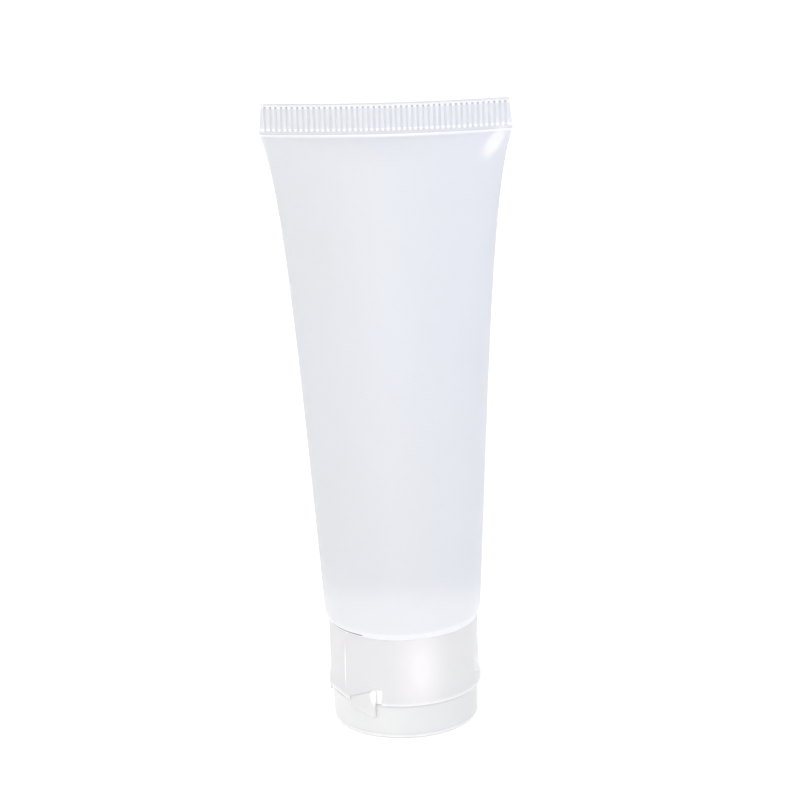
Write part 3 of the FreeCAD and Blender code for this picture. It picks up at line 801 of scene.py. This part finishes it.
class BOTTLE_OT_cap(bpy.types.Operator):
    """The screw cap with its swelling rim, deck, nozzle and hinge recesses"""
    bl_idname = "bottle.cap"
    bl_label = "Cap"

    def execute(self, context):
        cap = context.scene.bottle_cap
        hinge = context.scene.bottle_hinge
        top = CAP_HIGH.z
        deck_under = PARTING + cap.deck_recess
        deck_top = deck_under + cap.deck
        skirt_outer = cap.skirt_bore + cap.skirt_wall
        nozzle_outer = cap.nozzle_bore + cap.nozzle_wall
        skirt_inner = cap.radius - cap.wall
        lip = cap.radius + cap.swell
        lip_round = 0.55 * MM
        swell_foot = cap.lip_height * 0.7
        swell = []
        for step in range(1, 11):
            fade = step / 10
            fall_off = 0.5 + 0.5 * math.cos(math.pi * fade)
            swell.append((
                cap.radius + cap.swell * fall_off,
                PARTING + swell_foot + (cap.rim_height - swell_foot) * fade))
        outline = [
            (cap.nozzle_bore, deck_under - cap.nozzle_length),
            (nozzle_outer, deck_under - cap.nozzle_length),
            (nozzle_outer, deck_under),
            (cap.snap_outer - cap.snap_wall, deck_under),
            (cap.snap_outer - cap.snap_wall, PARTING - cap.snap_height),
            (cap.snap_outer, PARTING - cap.snap_height),
            (cap.snap_outer, LIP_FOOT),
        ]
        outline += arc((lip - lip_round, LIP_FOOT + lip_round), lip_round, -90, 0)
        outline += swell
        outline += [
            (cap.radius, top - 0.1 * MM),
            (cap.radius - 0.1 * MM, top),
            (skirt_inner, top),
            (skirt_inner, deck_top),
            (skirt_outer, deck_top),
            (skirt_outer, deck_top + cap.skirt_height),
            (cap.skirt_bore, deck_top + cap.skirt_height),
            (cap.skirt_bore, deck_top),
            (cap.nozzle_bore, deck_top),
        ]
        body = turned_ring("cap_shell", outline)
        soften(body, 0.08 * MM)
        cut_away(body, self.hinge_flat(cap, hinge))
        cut_away(body, self.thumb_scoop(cap, hinge))
        web_inner = context.scene.bottle_lid.radius + hinge.clearance
        web_outer = web_inner + hinge.thickness
        clear = lip + 0.5 * MM
        near = web_reach(hinge, web_outer)
        far = near + hinge.window_width
        rise = hinge.rise + hinge.clearance
        pocket_margin = 0.4 * hinge.clearance
        for side in (1, -1):
            pocket = curved_plate(
                "pocket", web_outline(hinge, web_outer, pocket_margin), side,
                web_inner - hinge.clearance / 2, clear)
            cut_away(body, pocket)
            window = curved_plate(
                "window", [(near, -MM), (far, -MM), (far, rise), (near, rise)], side,
                cap.radius - hinge.window_depth, clear)
            cut_away(body, window)
        split_at(body, LIP_FOOT + 0.8 * MM, LIP_FOOT + 1.1 * MM)
        self.tone_cap(body, cap, hinge, web_outer)
        smooth(body)
        material, shader, source = plastic(
            "frosted_cap", cap.tint, cap.shade, cap.roughness, cap.clearness,
            ior=1.45, ripple=0.03, cloud=60.0)
        # Painted highlights on the lip and the notches, with a faint painted glow.
        toned = add_tones(material, shader, source.outputs["Colour"], cap.bright, cap.shade, 0.12)
        flat_edge = hinge.bearing + math.acos(1 - cap.facet_depth / cap.radius)
        # Painted highlights: a soft sheen on the skirt right of the front, and a glowing line along the
        # flat's edge.
        for bearing, rise, size, white, glow, full in (
                (math.radians(14.5), 9.8, (10, 10, 22), cap.painted_sheen, 0.0, 0.7),
                (flat_edge, 9.5, (0.5, 0.5, 9), cap.bright, 0.1, 0.25)):
            place = (cap.radius * math.sin(bearing), -cap.radius * math.cos(bearing), PARTING + rise * MM)
            toned = add_whitening(
                material, shader, toned, place, 0.0, [side * MM for side in size], white, glow, full)
        add_rim_light(material, shader, 0.06)
        finish(body, "cap", material, "cap_body")
        return {"FINISHED"}

    def tone_cap(self, body, cap, hinge, web_outer):
        """The lip and the notches catch the light and are whiter."""
        lip_top = LIP_FOOT + 1.05 * MM
        web_middle = hinge.bearing + (hinge.near + hinge.far) / 2
        window_near = web_middle + math.asin(web_reach(hinge, web_outer) / cap.radius)
        window_far = window_near + math.radians(9)
        notch = cap.radius - hinge.window_depth

        def tone_at(co):
            bearing = math.atan2(co.x, -co.y)
            if co.z < lip_top and co.xy.length > cap.radius:
                return 0.8 * (lip_top - co.z) / (lip_top - LIP_FOOT)
            if window_near - 0.02 < bearing < window_far and abs(co.xy.length - notch) < 0.2 * MM:
                return 1.0
            return 0.0

        set_tones(body, tone_at)

    def hinge_flat(self, cap, hinge):
        """A leaning block that takes a flat off the skirt behind the hinge."""
        size = 2 * cap.radius
        clear_selection()
        bpy.ops.mesh.primitive_cube_add(size=size, location=(0, -size / 2, 0))
        block = bpy.context.object
        bake_place(block)
        block.data.transform(Matrix.Rotation(-cap.facet_tilt, 4, "X"))
        block.data.transform(Matrix.Translation((0, -(cap.radius - cap.facet_depth), PARTING)))
        block.data.transform(Matrix.Rotation(hinge.bearing, 4, "Z"))
        return block

    def thumb_scoop(self, cap, hinge):
        """A ball that scoops the rim opposite the hinge."""
        clear_selection()
        reach = cap.radius + cap.scoop_radius - cap.scoop_depth
        bpy.ops.mesh.primitive_uv_sphere_add(
            segments=128, ring_count=96, radius=cap.scoop_radius, location=(0, reach, PARTING - MM))
        ball = bpy.context.object
        bake_place(ball)
        ball.data.transform(Matrix.Rotation(hinge.bearing, 4, "Z"))
        return ball


class BOTTLE_OT_lid(bpy.types.Operator):
    """The shallow lid with its plug"""
    bl_idname = "bottle.lid"
    bl_label = "Lid"

    def execute(self, context):
        lid = context.scene.bottle_lid
        low = lid.radius - lid.draft
        rim = LID_HIGH.z
        inner = lid.radius - lid.wall
        hub = 0.02 * MM
        outline = [(hub, 0)]
        outline += arc((low - lid.edge, lid.edge), lid.edge, -90, 0, 8)
        height = rim - lid.edge
        for rise in (0.1 * MM, 0.25 * MM, 0.4 * MM, height - 0.6 * MM, height - 0.3 * MM):
            outline.append((low + lid.draft * rise / height, lid.edge + rise))
        outline += [
            (lid.radius, rim),
            (inner, rim),
            (inner - lid.draft, lid.wall),
            (lid.plug_outer, lid.wall),
            (lid.plug_outer, lid.plug_tip),
            (lid.plug_outer - lid.plug_wall, lid.plug_tip),
            (lid.plug_outer - lid.plug_wall, lid.wall),
            (hub, lid.wall),
        ]
        cup = turned_ring("lid_shell", outline)
        self.close_hub(cup, hub)
        soften(cup, 0.12 * MM)
        set_tones(cup, lambda co: self.tone_at(lid, co))
        smooth(cup)
        material, shader, source = plastic(
            "frosted_lid", lid.tint, lid.shade, lid.roughness, lid.clearness,
            ior=1.45, ripple=0.03, cloud=60.0)
        # Painted light on the edge and the rim's top, painted shade in the line under the rim, with a faint
        # painted glow.
        add_tones(material, shader, source.outputs["Colour"], lid.bright, lid.line, 0.1)
        add_rim_light(material, shader, 0.06)
        finish(cup, "lid", material, "flip_lid")
        return {"FINISHED"}

    def tone_at(self, lid, co):
        """The rounded edge and the rim's top are painted whiter, as painted light. A faint darker line runs
        over the edge, and another one under the rim, which is painted shade at the parting line."""
        if co.xy.length < lid.radius - lid.wall - HAIR:
            return 0.0
        if co.z > LID_HIGH.z - HAIR:
            return 1.0
        if co.z > lid.edge + 0.35 * MM:
            return -0.4 if co.z > LID_HIGH.z - 0.35 * MM else 0.0
        if co.z < 0.8 * lid.edge:
            return 0.6
        return -0.25 if lid.edge + 0.05 * MM < co.z < lid.edge + 0.3 * MM else 0.1

    def close_hub(self, cup, hub):
        """Takes the fine bore out of the hub and merges each end to one point."""
        for lower in (True, False):
            select_where(cup, lambda co: co.xy.length < 2 * hub and (co.z < 0.5 * MM) == lower)
            bpy.ops.mesh.merge(type="CENTER")
        bpy.ops.mesh.select_all(action="SELECT")
        bpy.ops.mesh.remove_doubles(threshold=MERGE)
        bpy.ops.mesh.delete_loose()
        face_outwards()


class BOTTLE_OT_webs(bpy.types.Operator):
    """The two thin webs of the snap hinge"""
    bl_idname = "bottle.webs"
    bl_label = "Hinge Webs"

    def execute(self, context):
        hinge = context.scene.bottle_hinge
        inner = context.scene.bottle_lid.radius + hinge.clearance
        outer = inner + hinge.thickness
        material, shader, source = plastic(
            "web_film", hinge.tint, hinge.tint, 0.25, 0.35, ior=1.3, ripple=0.03, cloud=60.0)
        # Painted highlight: a white spot with a faint painted glow at the web's tall end, by the notch.
        corner = hinge.bearing + hinge.far - math.radians(0.5)
        add_whitening(
            material, shader, source.outputs["Colour"],
            (outer * math.sin(corner), -outer * math.cos(corner), PARTING + 2.6 * MM), 0.0,
            (1.3 * MM, 1.3 * MM, 3.2 * MM), (1, 1, 1, 1), 0.25)
        for name, side in (("front", 1), ("back", -1)):
            web = curved_plate(f"web_{name}", web_outline(hinge, outer, 0.0), side, inner, outer)
            split_at(web, *(PARTING + step * 0.5 * MM for step in range(-3, 4)))
            smooth(web)
            dress(web, material)
            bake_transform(web)
            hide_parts(f"hinge_web_{name}")
        return {"FINISHED"}


class BOTTLE_OT_stage(bpy.types.Operator):
    """The plain floor, the soft light and the camera"""
    bl_idname = "bottle.stage"
    bl_label = "Stage"

    def execute(self, context):
        stage = context.scene.bottle_stage
        clear_selection()
        bpy.ops.mesh.primitive_plane_add(size=6, location=(0, 0, -0.05 * MM))
        floor = context.object
        floor.name = "floor"
        bake_place(floor)
        paper = bpy.data.materials.new("floor_paper")
        paper.use_nodes = True
        shader = paper.node_tree.nodes["Principled BSDF"]
        shader.inputs["Base Color"].default_value = stage.floor
        shader.inputs["Roughness"].default_value = 0.9
        shader.inputs["Specular IOR Level"].default_value = 0.1
        shader.inputs["Emission Color"].default_value = (1, 1, 1, 1)
        shader.inputs["Emission Strength"].default_value = stage.floor_glow
        floor.data.materials.append(paper)
        world = bpy.data.worlds.new("room_light")
        world.use_nodes = True
        light = world.node_tree.nodes["Background"]
        light.inputs["Color"].default_value = (1, 1, 1, 1)
        light.inputs["Strength"].default_value = stage.room
        context.scene.world = world
        context.scene.view_settings.view_transform = "Standard"
        self.softbox("key", -5, 8, 0.8, (0.3, 0.3), 1.0, (1, 0.995, 0.99))
        self.softbox("top", 0, 80, 1.4, (0.9, 0.9), 2.0, (1, 1, 1))
        self.camera(context, stage)
        return {"FINISHED"}

    def softbox(self, name, bearing, elevation, distance, size, power, tone):
        """A soft rectangular light that faces the bottle."""
        around, up = math.radians(bearing), math.radians(elevation)
        aim = Vector((0, 0, 80 * MM))
        spot = Vector((math.sin(around) * math.cos(up), -math.cos(around) * math.cos(up), math.sin(up)))
        spot = spot * distance + aim
        bpy.ops.object.light_add(type="AREA", location=spot)
        light = bpy.context.object
        light.name = f"softbox_{name}"
        light.data.shape = "RECTANGLE"
        light.data.size, light.data.size_y = size
        light.data.energy = power
        light.data.color = tone
        light.rotation_euler = (aim - spot).to_track_quat("-Z", "Y").to_euler()

    def camera(self, context, stage):
        """The camera, aimed as the bottle is seen: a little from above and rolled."""
        bpy.ops.object.camera_add()
        camera = context.object
        back = Vector((0, -math.cos(stage.elevation), math.sin(stage.elevation)))
        side = Vector((1, 0, 0))
        up = back.cross(side)
        aim = Vector((stage.aim_side, 0, stage.aim_height))
        facing = Matrix((side, up, back)).transposed().to_4x4()
        facing = facing @ Matrix.Rotation(-stage.roll, 4, "Z")
        facing = Matrix.Translation(aim + back * stage.distance) @ facing
        camera.matrix_world = Matrix.Rotation(stage.bearing, 4, "Z") @ facing
        camera.data.lens = stage.focal
        camera.data.sensor_width = 36
        camera.data.clip_start = 0.05
        camera.data.clip_end = 20
        context.scene.camera = camera


class BOTTLE_PT_parts(bpy.types.Panel):
    """Lists the bottle's pieces"""
    bl_idname = "BOTTLE_PT_parts"
    bl_label = "Travel Bottle"
    bl_space_type = "VIEW_3D"
    bl_region_type = "UI"
    bl_category = "Travel Bottle"

    def draw(self, context):
        for operator in OPERATORS:
            self.layout.operator(operator.bl_idname)
        for settings in SETTINGS:
            group = getattr(context.scene, settings)
            for name in group.__annotations__:
                self.layout.prop(group, name)


SETTINGS = {
    "bottle_tube": TubeSettings,
    "bottle_cap": CapSettings,
    "bottle_lid": LidSettings,
    "bottle_hinge": HingeSettings,
    "bottle_stage": StageSettings,
}
OPERATORS = (
    BOTTLE_OT_stage,
    BOTTLE_OT_tube,
    BOTTLE_OT_head,
    BOTTLE_OT_cap,
    BOTTLE_OT_lid,
    BOTTLE_OT_webs,
)


def register():
    for each in (*SETTINGS.values(), *OPERATORS, BOTTLE_PT_parts):
        bpy.utils.register_class(each)
    for name, settings in SETTINGS.items():
        setattr(bpy.types.Scene, name, bpy.props.PointerProperty(type=settings))


def unregister():
    for name in SETTINGS:
        delattr(bpy.types.Scene, name)
    for each in reversed((*SETTINGS.values(), *OPERATORS, BOTTLE_PT_parts)):
        bpy.utils.unregister_class(each)


def main():
    register()
    bpy.ops.bottle.stage()
    bpy.ops.bottle.tube()
    bpy.ops.bottle.head()
    bpy.ops.bottle.cap()
    bpy.ops.bottle.lid()
    bpy.ops.bottle.webs()


if __name__ == "__main__":
    main()
